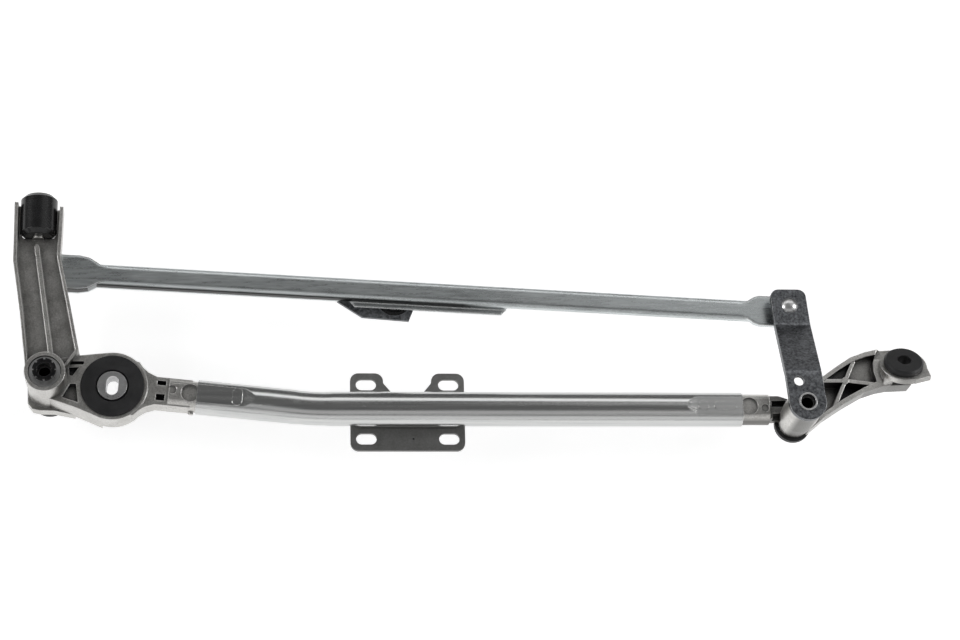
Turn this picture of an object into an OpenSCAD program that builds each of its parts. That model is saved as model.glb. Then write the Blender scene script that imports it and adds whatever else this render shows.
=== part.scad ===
// Windscreen wiper linkage without its motor: a bent tube frame with two cast
// spindle housings, two cranks on vertical spindles and one link rod.
// Millimetres. +X runs along the straight tube, +Z towards the crank side of
// the right spindle. The origin is on the left spindle axis, at the lower end
// of the straight seat for the wiper arm.

/* [Layout] */
// distance between the two spindle axes
spindle_span = 540; // [480:1:620]
// angle by which the line between the spindles falls to the right
line_turn = 3; // [0:0.5:5]
// distance from each spindle axis to its ball joint
arm_length = 86; // [80:1:96]
// distance of the straight tube below the left spindle axis, along Y
tube_drop = 19.2; // [16:0.2:24]
// angle between the left end of the tube and its straight length
left_turn = 5.8; // [4.8:0.1:7]
// height of the tube axis
tube_z = 60; // [58:0.5:62]

/* [Tube frame] */
// outside diameter of the tube
tube_d = 25; // [23:0.5:26]
// wall thickness of the tube
tube_wall = 1.5; // [1:0.1:2]
// radius of the tube's bend, on its axis
bend_radius = 180; // [120:10:260]
// distance from the left spindle axis to the left tube end
tube_start = 107; // [104:1:112]
// distance from the right spindle axis to the right tube end
tube_stop = 39; // [37:1:42]
// length of the pressed flat at each tube end
press_length = 34; // [28:1:38]
// depth of the pressed flat
press_depth = 1.9; // [1.2:0.1:2.4]
// length of the slope between pressed flat and round tube
press_slope = 9; // [5:1:12]

/* [Motor plate] */
// width of the plate along the tube
plate_w = 83; // [78:1:96]
// height of the plate across the tube
plate_h = 58.5; // [56:0.5:66]
// sheet thickness of the plate
plate_t = 3; // [2:0.5:4]
// distance from the left spindle axis to the plate's middle, along X
plate_x = 258; // [240:1:280]
// distance of the plate's middle from the tube axis, along Y
plate_shift = 1.8; // [0:0.2:3]
// spacing of the slots along the tube
slot_pitch_x = 60; // [56:1:66]
// spacing of the slots across the tube
slot_pitch_y = 41; // [40:0.5:46]
// width of each slot
slot_w = 8.4; // [6.4:0.2:9]
// length of each slot along the tube
slot_l = 14.8; // [11:0.2:16]
// corner radius of the plate
plate_round = 6; // [3:0.5:8]

/* [Left housing] */
// height of the left barrel's upper rim
rim_z = 86; // [84:0.5:90]
// height of the left housing's underside
base_z = 36; // [35:0.5:38]
// outside diameter of the left barrel
left_barrel_d = 29; // [28:0.5:32]
// height of the flat between barrel and ring
deck_z = 67; // [66:0.5:69]
// distance from the left spindle axis to the grommet's middle
ring_x = 46.8; // [46:0.2:50]
// outside diameter of the grommet ring
ring_d = 50; // [49:0.5:53]
// width of the neck between ring and tube
neck_w = 20.6; // [18:0.2:21.4]

/* [Support arm] */
// thickness of the arm's floor
arm_floor = 4; // [3:0.5:5]
// height of the arm's floor at its upper face
arm_z = 66; // [65:0.5:67]
// height of the arm's side walls above its floor
arm_wall_h = 8; // [5:0.5:10]
// thickness of the arm's side walls
arm_wall = 2.6; // [2.2:0.2:3.6]
// thickness of the arm's middle rib
arm_rib = 3.4; // [2.6:0.2:4.2]
// diameter of the rubber buffer
buffer_d = 26.4; // [24:0.4:27.2]
// length of the rubber buffer
buffer_l = 31; // [28:1:34]
// chamfer at both ends of the buffer
buffer_edge = 3; // [1.5:0.5:4]

/* [Grommets] */
// diameter of the left grommet
grommet_d = 45; // [43:0.5:46]
// outside diameter of the steel sleeve in the left grommet
sleeve_d = 21; // [19:0.5:23]
// width of the sleeve's slot
sleeve_slot_w = 8.5; // [6.5:0.25:9]
// length of the sleeve's slot
sleeve_slot_l = 14; // [11:0.5:15]
// diameter of the right grommet's body
right_grommet_d = 24; // [22:0.5:25]
// hole through the right grommet
right_grommet_hole = 10; // [8:0.5:11]
// lean of the right grommet's axis towards +Y
grommet_lean = 31; // [27:1:34]

/* [Right housing] */
// height of the right barrel's upper end
right_rim_z = 104.5; // [103:0.5:107]
// height of the right barrel's lower end
right_base_z = 56; // [54:0.5:57]
// outside diameter of the right barrel
right_barrel_d = 26; // [25:0.5:28]
// height of the right arm's upper edge
right_arm_z = 78; // [76:0.5:79]
// depth of the right arm
right_arm_h = 17; // [14:0.5:18]
// thickness of the right arm's ribs
right_rib = 2.6; // [2:0.2:3.4]

/* [Cranks] */
// width of both crank plates
crank_w = 27; // [25:0.5:28]
// sheet thickness of both crank plates
crank_t = 4; // [3.5:0.5:4.5]
// offset between the two flats of the right crank
crank_step = 38; // [36:0.5:39]
// distance from the right spindle axis to the start of the slope
step_start = 23; // [21:0.5:25]
// distance from the right spindle axis to the end of the slope
step_stop = 71; // [69:0.5:72]
// corner radius at the free end of the right crank
crank_round = 6; // [4:0.5:8]
// lean of the right crank's flats against the line of its joints
crank_lean = 5; // [0:1:7]
// gap between the left housing and the left crank
crank_gap = 3; // [2.2:0.2:3]
// bend radius at the inside of the crank's slope
crank_bend = 5; // [3:0.5:7]

/* [Spindles] */
// diameter of both spindles
spindle_d = 12; // [11:0.5:13]
// diameter of the straight wiper arm seat
seat_d = 10; // [9:0.5:10.5]
// length of the straight wiper arm seat
seat_l = 16; // [14:1:17]
// running clearance on the radius of each spindle
run_gap = 0.04; // [0.02:0.01:0.08]
// wall thickness of the bearing bushes
bush_wall = 2; // [1.5:0.25:2.25]
// length of each bearing bush
bush_l = 14; // [10:1:16]

/* [Link rod] */
// width of the rod
rod_w = 16; // [14:0.5:17]
// depth of the rod's side walls
rod_h = 10; // [9:0.5:10.5]
// sheet thickness of the rod
rod_t = 2; // [1.6:0.1:2.2]
// height of the rod's upper face
rod_z = 57.5; // [57:0.25:58]
// width of the pad at each rod end
pad_w = 26; // [25:0.5:28]
// ball diameter of both joints
ball_d = 13; // [12:0.5:13.5]
// clearance between ball and socket, on the radius
ball_gap = 0.1; // [0.06:0.02:0.2]
// distance along the rod from the left joint to the drive socket
drive_x = 250; // [235:1:265]
// distance of the drive socket from the rod's middle line
drive_shift = 4; // [3:0.5:5]
// outside diameter of the drive socket
drive_d = 25; // [24:0.5:26]
// mouth diameter of the drive socket
drive_mouth = 14; // [12:0.5:15]

/* [Hidden] */
$fn = 96;

// overlap that joins solids of one node
bite = 0.5;
// length that lets a cut run past a face
past = 1;
// gap between pieces that are pressed or seated together
seat_gap = 0.02;
// length of a cut that runs through everything
through = 200;

tube_r = tube_d / 2;
tube_bore_r = tube_r - tube_wall;
right_x = spindle_span * cos(line_turn);
right_y = -spindle_span * sin(line_turn);
// how far the tube necks in at its bend, and how far each straight length tapers
neck_in = 0.3;
neck_reach = 5;
// turn by which the bend runs on inside each straight length
bend_lap = neck_reach / 2.5 / bend_radius * 180 / PI;
bend_x = tube_drop / tan(left_turn);
bend_reach = bend_radius * tan(left_turn / 2);
left_run = tube_drop / sin(left_turn) - bend_reach;
tube_end_x = right_x - tube_stop;
spigot_r = tube_bore_r - seat_gap;
spigot_l = press_length - 4;
tube_over_right = -tube_drop - right_y;

plate_top = tube_z - tube_r - seat_gap;

// notch between the plate's ears: depth, half width at its floor, lean of its sides
notch_deep = 16;
notch_half = 10.5;
notch_lean = 13;
ear_round = 5;
mark_x = 4;
mark_d = 1.6;
mark_deep = 1;
seam_d = 5;
seam_y = 8;

left_barrel_r = left_barrel_d / 2;
spindle_r = spindle_d / 2;
bush_bore_r = spindle_r + run_gap;
bush_r = bush_bore_r + bush_wall;
seat_r = seat_d / 2;
crank_top = base_z - crank_gap;
// left crank: hub round the spindle, eye round the ball stud, bar between them
left_hub_r = 12;
left_eye_r = 9;
left_bar_w = 14;
left_cap_r = 14;
left_cap_h = 4;
left_cap_drop = 3;
left_crank_z = crank_top - crank_t;
rim_recess = 2.5;
rim_recess_r = left_barrel_r - 2.8;
ring_r = ring_d / 2;
grommet_r = grommet_d / 2;
ring_bottom = 48;
sleeve_l = 13;
sleeve_low = deck_z + 1.4 - sleeve_l;
neck_half = neck_w / 2;
neck_top = tube_z + 6.4;
neck_bottom = tube_z - 8.5;
collar_r = tube_r - 1.3;
collar_l = 20;
collar_top = tube_z + 9.4;

arm_end = 129.5;
arm_under = arm_z - arm_floor;
buffer_r = buffer_d / 2;
buffer_z = arm_z + 2;
buffer_x = -21.4;
buffer_mid = 121.6;
buffer_turn = 6;
ring_notches = 8;
peg_r = 4;
buffer_gap = 0.3;

right_barrel_r = right_barrel_d / 2;
right_crank_top = right_rim_z + 1 + crank_t;
right_low_top = right_crank_top - crank_step;
right_arm_bottom = right_arm_z - right_arm_h;
seat_x = 79;
seat_y = 37.4;
seat_z = 80.7;
right_grommet_r = right_grommet_d / 2;
right_seat_r = right_grommet_r + 5.4;
right_seat_l = 4;
rib_step = 0.3;
low_lip_r = right_grommet_r + 1.4;
wall_inside_y = 26;
right_foot_r = right_barrel_r - 2;
right_neck_bottom = tube_z - 5;
cap_r = 13.4;

// riveted upper end of the right spindle, wider than the spindle by this much
rivet_over = 0.6;
// small hole in the right crank
gauge_r = 3.6;
gauge_x = 5.5;
gauge_y = 15.5;

ball_r = ball_d / 2;
bend_cuts = 6;
cup_r = ball_r + 3.4;
left_ball_z = rod_z - rod_t - ball_r - 0.9;
right_ball_z = rod_z + ball_r - 2.4;
pad_r = pad_w / 2;
pad_l = 20;
right_pad_r = pad_r - 1.6;
left_flare = 24;
right_flare = 14;
shallow_h = 4.6;
rod_round = 3.5;
lip_w = 4;
stem_r = ball_r + 0.9;
rod_bottom = rod_z - rod_h;
neck_stud_r = ball_r * 0.58;
dome_r = 8;
dome_h = 2.8;
bracket_t = 2.5;
// drive bracket, along the rod from the drive socket: left end, rear corner,
// start and end of the front edge, right end
bracket_left = 42;
bracket_corner = 30;
bracket_bend = 23;
bracket_tip = 11.4;
bracket_right = 15;
// drive bracket, across the rod: left end, front edge, right end, rear edge
bracket_end_rear = 7;
bracket_end_front = 7.8;
bracket_bend_front = 19;
bracket_tip_front = 20;
bracket_heel = 9.5;
bracket_rear = 8.4;
drive_r = drive_d / 2;
drive_h = 14;
// how much narrower the socket's body is than its collar, and the roof over its mouth
drive_step = 3;
drive_roof = 3;

// frame of the left housing: X along the left end of the tube
module at_left() {
    rotate([0, 0, -left_turn])
        children();
}

// frame of the right housing: its spindle axis is Z
module at_right() {
    translate([right_x, right_y, 0])
        children();
}

// frame of the rod: X along the rod, the left joint at its origin
module at_rod() {
    translate([0, arm_length, 0])
        rotate([0, 0, -line_turn])
            children();
}

module ring(outer_r, inner_r, low, high) {
    translate([0, 0, low])
        difference() {
            cylinder(r = outer_r, h = high - low);
            translate([0, 0, -past])
                cylinder(r = inner_r, h = high - low + 2 * past);
        }
}

module disc(r, low, high) {
    translate([0, 0, low])
        cylinder(r = r, h = high - low);
}

// round bar along +X that starts at x = from
module bar(r, from, to) {
    translate([from, 0, 0])
        rotate([0, 90, 0])
            cylinder(r = r, h = to - from);
}

// flat strip between two points, round at both ends
module strip(x1, y1, x2, y2, w, low, high) {
    run = sqrt(pow(x2 - x1, 2) + pow(y2 - y1, 2));
    translate([x1, y1, low])
        rotate([0, 0, atan2(y2 - y1, x2 - x1)])
            linear_extrude(high - low) {
                translate([0, -w / 2])
                    square([run, w]);
                circle(d = w);
                translate([run, 0])
                    circle(d = w);
            }
}

// straight square-ended rib between two points of a plan
module rib(x1, y1, x2, y2, w, low, high) {
    run = sqrt(pow(x2 - x1, 2) + pow(y2 - y1, 2));
    translate([x1, y1, low])
        rotate([0, 0, atan2(y2 - y1, x2 - x1)])
            translate([0, -w / 2, 0])
                cube([run, w, high - low]);
}

module slot_shape(l, w) {
    half = (l - w) / 2;
    square([2 * half, w], center = true);
    translate([half, 0])
        circle(d = w);
    translate([-half, 0])
        circle(d = w);
}

module round_rect(w, h, r) {
    square([w - 2 * r, h], center = true);
    square([w, h - 2 * r], center = true);
    for (sx = [-1, 1], sy = [-1, 1])
        translate([sx * (w / 2 - r), sy * (h / 2 - r)])
            circle(r = r);
}

// straight length of the tube along +X; past x = to it tapers, so that it dips
// under the skin of the bend
module tube_length(r, from, to) {
    rotate([0, 90, 0])
        rotate_extrude()
            polygon([[0, from], [r, from], [r, to - neck_reach],
                [r - 2 * neck_in, to + neck_reach], [0, to + neck_reach]]);
}

// tube body of one radius along the whole bent line, necked a little at the bend
module tube_line(r, over) {
    at_left()
        translate([0, 0, tube_z])
            tube_length(r, tube_start - over, left_run);
    translate([bend_x + bend_reach, bend_radius - tube_drop, tube_z])
        rotate([0, 0, -90 - left_turn - bend_lap])
            rotate_extrude(angle = left_turn + 2 * bend_lap)
                translate([bend_radius, 0])
                    circle(r = r - neck_in);
    at_right_end()
        tube_length(r, -over, tube_end_x - bend_x - bend_reach);
}

// side view of the material that the press pushes away at a tube end,
// with its slope back to the round tube; the end is at x = 0
module press_side(half, over) {
    polygon([[-over, half], [press_length, half],
        [press_length + press_slope, half + press_depth + 0.4],
        [press_length + press_slope, tube_d], [-over, tube_d]]);
}

module press_cut(half, over) {
    for (side = [0, 1])
        mirror([0, 0, side])
            translate([0, tube_d, 0])
                rotate([90, 0, 0])
                    linear_extrude(2 * tube_d)
                        press_side(half, over);
}

module at_left_end() {
    at_left()
        translate([tube_start, 0, tube_z])
            children();
}

module at_right_end() {
    translate([tube_end_x, -tube_drop, tube_z])
        rotate([0, 0, 180])
            children();
}

module frame_tube() {
    flat = tube_r - press_depth;
    color("silver") {
        difference() {
            tube_line(tube_r, 0);
            at_left_end()
                press_cut(flat, past);
            at_right_end()
                press_cut(flat, past);
            difference() {
                tube_line(tube_bore_r, past);
                at_left_end()
                    press_cut(flat - tube_wall, 2 * past);
                at_right_end()
                    press_cut(flat - tube_wall, 2 * past);
            }
        }
        at_left_end()
            translate([press_length - 5, 0, flat - bite])
                linear_extrude(bite + 0.7)
                    rotate([0, 0, 90])
                        slot_shape(13, 7);
        at_right_end() {
            translate([press_length - 5, 0, flat - bite])
                cylinder(d = 7.6, h = bite + 0.6);
            translate([13, 0, flat - bite])
                linear_extrude(bite + 0.6)
                    slot_shape(16, 6.6);
        }
    }
}

// spigot of a housing inside a tube end, pointing along +X from the end
module spigot(from) {
    intersection() {
        bar(spigot_r, from, spigot_l);
        translate([from, -tube_r, -(tube_r - press_depth - tube_wall - seat_gap)])
            cube([spigot_l - from, tube_d,
                2 * (tube_r - press_depth - tube_wall - seat_gap)]);
    }
}

// one rounded ear of the motor plate, beside the notch
module plate_ear() {
    top = plate_h / 2;
    low = top - notch_deep;
    lean = atan2(notch_lean, notch_deep);
    round_y = top - ear_round;
    round_x = notch_half + (round_y - low) * tan(lean) + ear_round / cos(lean);
    translate([round_x, round_y])
        circle(r = ear_round);
    polygon([[notch_half, low], [round_x - ear_round * cos(lean), round_y + ear_round * sin(lean)],
        [round_x, round_y], [round_x, top], [plate_w / 2 - plate_round, top],
        [plate_w / 2 - plate_round, low]]);
}

module motor_plate() {
    color("dimgray")
        translate([plate_x, -tube_drop + plate_shift, plate_top - plate_t]) {
            difference() {
                linear_extrude(plate_t)
                    difference() {
                        union() {
                            translate([0, -notch_deep / 2])
                                round_rect(plate_w, plate_h - notch_deep, plate_round);
                            for (side = [0, 1])
                                mirror([side, 0])
                                    plate_ear();
                            for (sx = [-1, 1])
                                translate([sx * (plate_w / 2 - 2 * plate_round), 0])
                                    round_rect(4 * plate_round, plate_h, plate_round);
                        }
                        for (sx = [-1, 1], sy = [-1, 1])
                            translate([sx * slot_pitch_x / 2, sy * slot_pitch_y / 2])
                                slot_shape(slot_l, slot_w);
                    }
                translate([mark_x, -slot_pitch_y / 2, plate_t - mark_deep])
                    cylinder(d = mark_d, h = plate_t);
            }
            // weld seams along both sides of the tube
            difference() {
                for (sy = [-1, 1])
                    translate([-plate_w / 2 + plate_round, sy * seam_y - plate_shift, plate_t + seam_d / 4])
                        rotate([0, 90, 0])
                            cylinder(d = seam_d, h = plate_w - 2 * plate_round);
                translate([-plate_w, -plate_shift, plate_t + seat_gap + tube_r])
                    bar(tube_r + seat_gap, 0, 2 * plate_w);
            }
        }
}

// plan of the deck between left barrel and grommet ring
module deck_plan() {
    polygon([[-2, left_barrel_r - 0.4], [21, 20.3], [ring_x - 5, ring_r - 0.4],
        [ring_x, 0], [ring_x - 5, -ring_r + 0.4], [22.8, -18.4],
        [4, -left_barrel_r + 0.6]]);
}

// plan of the neck between grommet ring and tube end, flared at the ring
module left_neck_plan() {
    far = tube_start - 4;
    polygon([[ring_x + 6, ring_r - 4], [ring_x + 17, ring_r - 5], [ring_x + 20, neck_half + 6],
        [ring_x + 24.4, neck_half + 2.6], [ring_x + 31, neck_half], [far, neck_half],
        [far, -neck_half], [ring_x + 31, -neck_half], [ring_x + 24.4, -neck_half - 2.6],
        [ring_x + 20, -neck_half - 6], [ring_x + 17, -ring_r + 5], [ring_x + 6, -ring_r + 4]]);
}

// plan of the foot that wraps the lower end of the left barrel
module foot_plan() {
    polygon([[-17, 20], [-14.4, -4], [-13.2, -12.5], [-9.5, -16.4], [-4.4, -17.1],
        [6.2, -16.2], [21, -17.8], [24, 0], [19, 20]]);
}

// plan of the support arm
module arm_plan() {
    polygon([[-16, 8], [-25, 47], [-34.6, 84], [-37.2, 108], [-39.6, arm_end],
        [-4.4, arm_end], [-2.6, 108], [-1.6, 92], [9.1, 58.8], [20.6, 22],
        [12, 8]]);
}

// plan of the space between the arm's side walls
module arm_hollow_plan() {
    polygon([[-16 + arm_wall, 6], [-25 + arm_wall, 47], [-34.6 + arm_wall, 84],
        [-37.2 + arm_wall, 108], [-39.6 + arm_wall, arm_end + past],
        [-4.4 - arm_wall, arm_end + past], [-2.6 - arm_wall, 108],
        [-1.6 - arm_wall, 92], [9.1 - arm_wall, 58.8], [20.6 - arm_wall, 22],
        [12 - arm_wall, 6]]);
}

// frame of the buffer: X along the buffer, its middle at the origin
module at_buffer() {
    translate([buffer_x, buffer_mid, buffer_z])
        rotate([0, 0, 90 + buffer_turn])
            children();
}

// room for the buffer at the free end of the arm
module buffer_room() {
    half = buffer_l / 2;
    wide = buffer_r + buffer_gap;
    rotate([0, 90, 0])
        rotate_extrude()
            polygon([[0, -half - buffer_gap], [wide - buffer_edge, -half - buffer_gap],
                [wide, -half + buffer_edge - buffer_gap], [wide, buffer_l], [0, buffer_l]]);
}

module support_arm() {
    difference() {
        translate([0, 0, arm_under])
            linear_extrude(arm_floor + arm_wall_h)
                arm_plan();
        translate([0, 0, arm_z])
            linear_extrude(arm_wall_h + past)
                arm_hollow_plan();
        at_buffer()
            buffer_room();
    }
    strip(1.4, 16, -19.6, 98, arm_rib, arm_z - bite, arm_z + 5);
    // peg that carries the buffer
    at_buffer()
        bar(peg_r, -buffer_l / 2 - 1.4, buffer_l / 2 - 3);
}

module left_pockets() {
    depth = 4.5;
    floor_z = deck_z - depth;
    translate([0, 0, floor_z])
        linear_extrude(depth + past) {
            polygon([[14.6, 10.4], [21.6, 11.6], [17.9, 4.6], [15.6, 4.8]]);
            polygon([[17, -1.4], [21, -1], [24.2, -14.6], [12.6, -11.8]]);
        }
    strip(12.4, 13.7, 23.6, 15, 2.6, deck_z - 3.5, deck_z + past);
}

// half moon recess in a collar; its straight side is at x = flat
module half_moon(flat) {
    translate([flat - 5.4, 0, collar_top - 2])
        linear_extrude(collar_r)
            intersection() {
                circle(r = 6.4);
                translate([-10, -10])
                    square([15.4, 20]);
            }
}

// cut that leaves a flat along the top of a collar, which ends at x = end
module collar_flat(end) {
    translate([end - collar_l - past, -tube_d, collar_top])
        cube([collar_l + 2 * past, 2 * tube_d, tube_d]);
}

module left_housing() {
    color("lightgray")
        at_left()
            difference() {
                union() {
                    disc(left_barrel_r, deck_z + 0.5, rim_z);
                    disc(left_barrel_r - 0.4, base_z, deck_z + 1);
                    translate([0, 0, base_z])
                        linear_extrude(4)
                            foot_plan();
                    translate([0, 0, base_z])
                        linear_extrude(10)
                            difference() {
                                foot_plan();
                                translate([2.4, 2.6])
                                    circle(r = 16.6);
                            }
                    translate([0, 0, ring_bottom - 6])
                        linear_extrude(deck_z - ring_bottom + 6)
                            deck_plan();
                    translate([ring_x, 0, 0])
                        disc(ring_r, ring_bottom, deck_z);
                    translate([0, 0, neck_bottom])
                        linear_extrude(neck_top - neck_bottom)
                            left_neck_plan();
                    translate([0, 0, tube_z])
                        bar(collar_r, tube_start - collar_l, tube_start - seat_gap);
                    // nub beside the tube end
                    translate([tube_start - 3.4, 1 - collar_r, tube_z - 2])
                        rotate([90, 0, 0])
                            cylinder(d = 3.8, h = 2.6);
                    at_left_end_local()
                        spigot(-1);
                    support_arm();
                }
                translate([0, 0, base_z - past])
                    cylinder(r = bush_r + seat_gap, h = rim_z);
                disc(rim_recess_r, rim_z - rim_recess, rim_z + past);
                translate([ring_x, 0, 0]) {
                    disc(grommet_r + seat_gap, ring_bottom - past, rim_z);
                    disc(grommet_r + 2, base_z - past, ring_bottom);
                }
                left_pockets();
                translate([78.2, 4.4, neck_top - 6])
                    cube([6.2, 3.3, 6 + past]);
                translate([78.2, -6.9, neck_top - 6])
                    cube([6.2, 4.7, 6 + past]);
                translate([89.4, 1.2, collar_top - 1.4])
                    cylinder(d = 6.2, h = 5);
                collar_flat(tube_start);
                half_moon(tube_start + 0.6);
            }
}

module at_left_end_local() {
    translate([tube_start, 0, tube_z])
        children();
}

module left_grommet() {
    lip_top = deck_z + 0.8;
    low = ring_bottom - 3;
    color([0.07, 0.07, 0.07])
        at_left()
            translate([ring_x, 0, 0])
                difference() {
                    union() {
                        disc(grommet_r, low, lip_top);
                        disc(grommet_r + 1.6, low, ring_bottom - seat_gap);
                    }
                    disc(sleeve_d / 2 + seat_gap, low - past, lip_top + past);
                    disc(sleeve_d / 2 + 1.6, low - past, sleeve_low - past);
                    ring(sleeve_d / 2 + 1.4, sleeve_d / 2 - 1, lip_top - 3, lip_top + past);
                }
}

module left_sleeve() {
    color("silver")
        at_left()
            translate([ring_x, 0, sleeve_low])
                linear_extrude(sleeve_l)
                    difference() {
                        circle(d = sleeve_d);
                        rotate([0, 0, 90])
                            slot_shape(sleeve_slot_l, sleeve_slot_w);
                    }
}

module arm_buffer() {
    half = buffer_l / 2;
    color([0.04, 0.04, 0.04])
        at_left()
            at_buffer()
                rotate([0, 90, 0])
                    rotate_extrude()
                        polygon([[peg_r + seat_gap, -half], [buffer_r - buffer_edge, -half],
                            [buffer_r, -half + buffer_edge], [buffer_r, half - buffer_edge],
                            [buffer_r - buffer_edge, half], [0, half],
                            [0, half - 2.5], [peg_r + seat_gap, half - 2.5]]);
}

// frame of the right grommet: Z along its axis, its middle at the origin
module at_seat() {
    translate([seat_x, seat_y, seat_z])
        rotate([-grommet_lean, 0, 0])
            children();
}

// plan of the right arm
module right_arm_plan() {
    polygon([[-7, 9], [8, 21], [19.6, 29.3], [30.5, 37], [40.6, 43.6], [52.1, 47.9],
        [63.4, 50.4], [73.2, 51.2], [78, 40], [84.9, 23.4], [77, 23], [68.7, 22.6],
        [61.2, 21.2], [49.8, 17.4], [34.4, 8.6], [19.6, -1.1], [8, -10.5]]);
}

// plan of the right arm inside its walls; its right end follows the seat
module right_hollow_plan() {
    polygon([[12.5, 20.4], [21, 26.6], [31.2, 33.8], [41.6, 40.4], [52.6, 44.6],
        [59.6, 46], [57.4, 40], [57.4, 33], [59.4, 25.4], [49, 20.6], [33.2, 11.8],
        [20.2, 2.9], [13.4, -2.2]]);
}

module right_ribs(low) {
    high = right_arm_z - 0.6;
    rib(12, 25.8, 35.4, 26.1, right_rib, low, high);
    rib(36.8, 26.1, 60, 23.2, right_rib, low, high);
    // the cross ribs lie a step lower, the hub of the ribs a step higher
    rib(26.5, 5.8, 35.8, 25.4, right_rib, low, high - rib_step);
    rib(36.4, 26.8, 43.4, 41.4, right_rib, low, high - rib_step);
    translate([36.1, 26.1, 0])
        disc(right_rib, low, high + rib_step);
}

module right_arm() {
    floor_z = right_arm_bottom + 3;
    difference() {
        translate([0, 0, right_arm_bottom])
            linear_extrude(right_arm_h)
                right_arm_plan();
        translate([0, 0, floor_z])
            linear_extrude(right_arm_h)
                right_hollow_plan();
    }
    right_ribs(floor_z - bite);
    // raised floor of the upper pockets
    translate([0, 0, floor_z - bite])
        linear_extrude(7)
            intersection() {
                right_hollow_plan();
                polygon([[8, 25.8], [36.1, 26.1], [60, 23], [62, 52], [10, 30]]);
            }
}

// plan of the right neck between tube end and barrel
module right_neck_plan() {
    high = tube_over_right + neck_half - 1.8;
    low = tube_over_right - neck_half + 1.6;
    polygon([[-tube_stop + 4, high], [-12, high], [0, high - 4], [0, low - 4], [-12, low],
        [-tube_stop + 4, low]]);
}

// leaning plate that carries the right grommet, with its pointed tip
module seat_plate() {
    translate([0, 0, -right_seat_l])
        linear_extrude(right_seat_l) {
            circle(r = right_seat_r);
            polygon([[6, 0.6 - right_seat_r], [right_seat_r + 0.8, -12.7], [right_seat_r - 0.2, -4], [4, 0]]);
        }
}

module right_housing() {
    neck_y = tube_over_right;
    waist_z = right_base_z + 20;
    color("lightgray")
        at_right()
            difference() {
                union() {
                    disc(right_barrel_r, waist_z, right_rim_z);
                    translate([0, 0, right_base_z])
                        cylinder(r1 = right_foot_r, r2 = right_barrel_r, h = waist_z - right_base_z + bite);
                    right_arm();
                    at_seat()
                        seat_plate();
                    // skirt from the arm up to the seat
                    intersection() {
                        at_seat()
                            disc(right_seat_r - 0.4, -30, -1);
                        translate([0, 0, right_arm_bottom + 2])
                            linear_extrude(60)
                                polygon([[56, 27], [90, 27], [74, 52], [56, 48]]);
                    }
                    translate([0, 0, right_neck_bottom])
                        linear_extrude(neck_top - right_neck_bottom)
                            right_neck_plan();
                    translate([0, neck_y, tube_z])
                        bar(collar_r, -tube_stop + seat_gap, -tube_stop + collar_l);
                    translate([-tube_stop, neck_y, tube_z])
                        rotate([0, 0, 180])
                            spigot(-1);
                }
                disc(bush_r + seat_gap, right_base_z - past, right_rim_z + past);
                disc(cap_r + 1.5, right_base_z - 30, right_base_z);
                at_seat() {
                    disc(right_grommet_r + seat_gap, -11, 60);
                    disc(right_seat_r + 4, 0, 60);
                    disc(low_lip_r + 1, -11, -right_seat_l);
                }
                // way out under the grommet, behind the arm's lower wall
                intersection() {
                    at_seat()
                        disc(low_lip_r + 1, -60, -right_seat_l);
                    translate([0, wall_inside_y, 0])
                        cube([2 * seat_x, 2 * seat_y, 2 * seat_z]);
                }
                translate([-17.4, neck_y + 0.4, neck_top - 6])
                    cube([10.6, 4.6, 6 + past]);
                translate([-16.8, neck_y - 10.2, neck_top - 6])
                    cube([10.2, 5.6, 6 + past]);
                translate([-tube_stop + 16.4, neck_y - 1.4, collar_top - 1.4])
                    cylinder(d = 5.6, h = 5);
                translate([0, neck_y, 0])
                    mirror([1, 0, 0]) {
                        half_moon(tube_stop + 0.6);
                        collar_flat(tube_stop);
                    }
            }
}

module right_grommet() {
    lip_r = right_grommet_r + 2.4;
    low = -right_seat_l - 4;
    high = 4.6;
    hole_r = right_grommet_hole / 2;
    color([0.07, 0.07, 0.07])
        at_right()
            at_seat()
                rotate_extrude()
                    polygon([[hole_r, low], [low_lip_r - 1, low], [low_lip_r, low + 1.2],
                        [low_lip_r, -right_seat_l - seat_gap], [right_grommet_r, -right_seat_l - seat_gap],
                        [right_grommet_r, seat_gap], [lip_r, seat_gap], [lip_r, high - 1.4],
                        [lip_r - 1.4, high], [hole_r, high]]);
}

module bush(low) {
    color("darkgoldenrod")
        ring(bush_r, bush_bore_r, low, low + bush_l);
}

module left_upper_bush() {
    bush(rim_z - rim_recess - bush_l - 1);
}

module left_lower_bush() {
    bush(base_z + 1);
}

module right_upper_bush() {
    at_right()
        bush(right_rim_z - bush_l);
}

module right_lower_bush() {
    at_right()
        bush(right_base_z + 1);
}

module left_spindle() {
    head_r = spindle_r + 1.2;
    head_low = rim_z - rim_recess + 2;
    head_top = rim_z + 3;
    color("gainsboro")
        difference() {
            union() {
                disc(spindle_r, seat_l + 3, head_low + bite);
                disc(head_r, head_low, head_top);
                disc(seat_r, 0, seat_l + 2);
                translate([0, 0, seat_l])
                    cylinder(r1 = seat_r, r2 = spindle_r, h = 3);
                translate([0, 0, -2])
                    cylinder(r1 = seat_r - 1.6, r2 = seat_r, h = 2);
            }
            disc(head_r - 1.9, head_top - 7, head_top + past);
            disc(spindle_r - 2, head_top - 30, head_top);
        }
}

module left_thrust_washer() {
    low = rim_z - rim_recess;
    color("silver")
        ring(rim_recess_r - 0.6, spindle_r + 0.1, low + 0.05, low + 1.4);
}

// lock ring on the upper end of the left spindle, with notches round its edge
module left_circlip() {
    low = rim_z + 3 + seat_gap;
    outer = spindle_r + 2.4;
    color([0.2, 0.2, 0.2])
        difference() {
            ring(outer, spindle_r - 0.7, low, low + 1.2);
            for (k = [0:ring_notches - 1])
                rotate([0, 0, k * 360 / ring_notches])
                    translate([outer - 1.1, -0.7, low - past])
                        cube([3, 1.4, 3]);
        }
}

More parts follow.
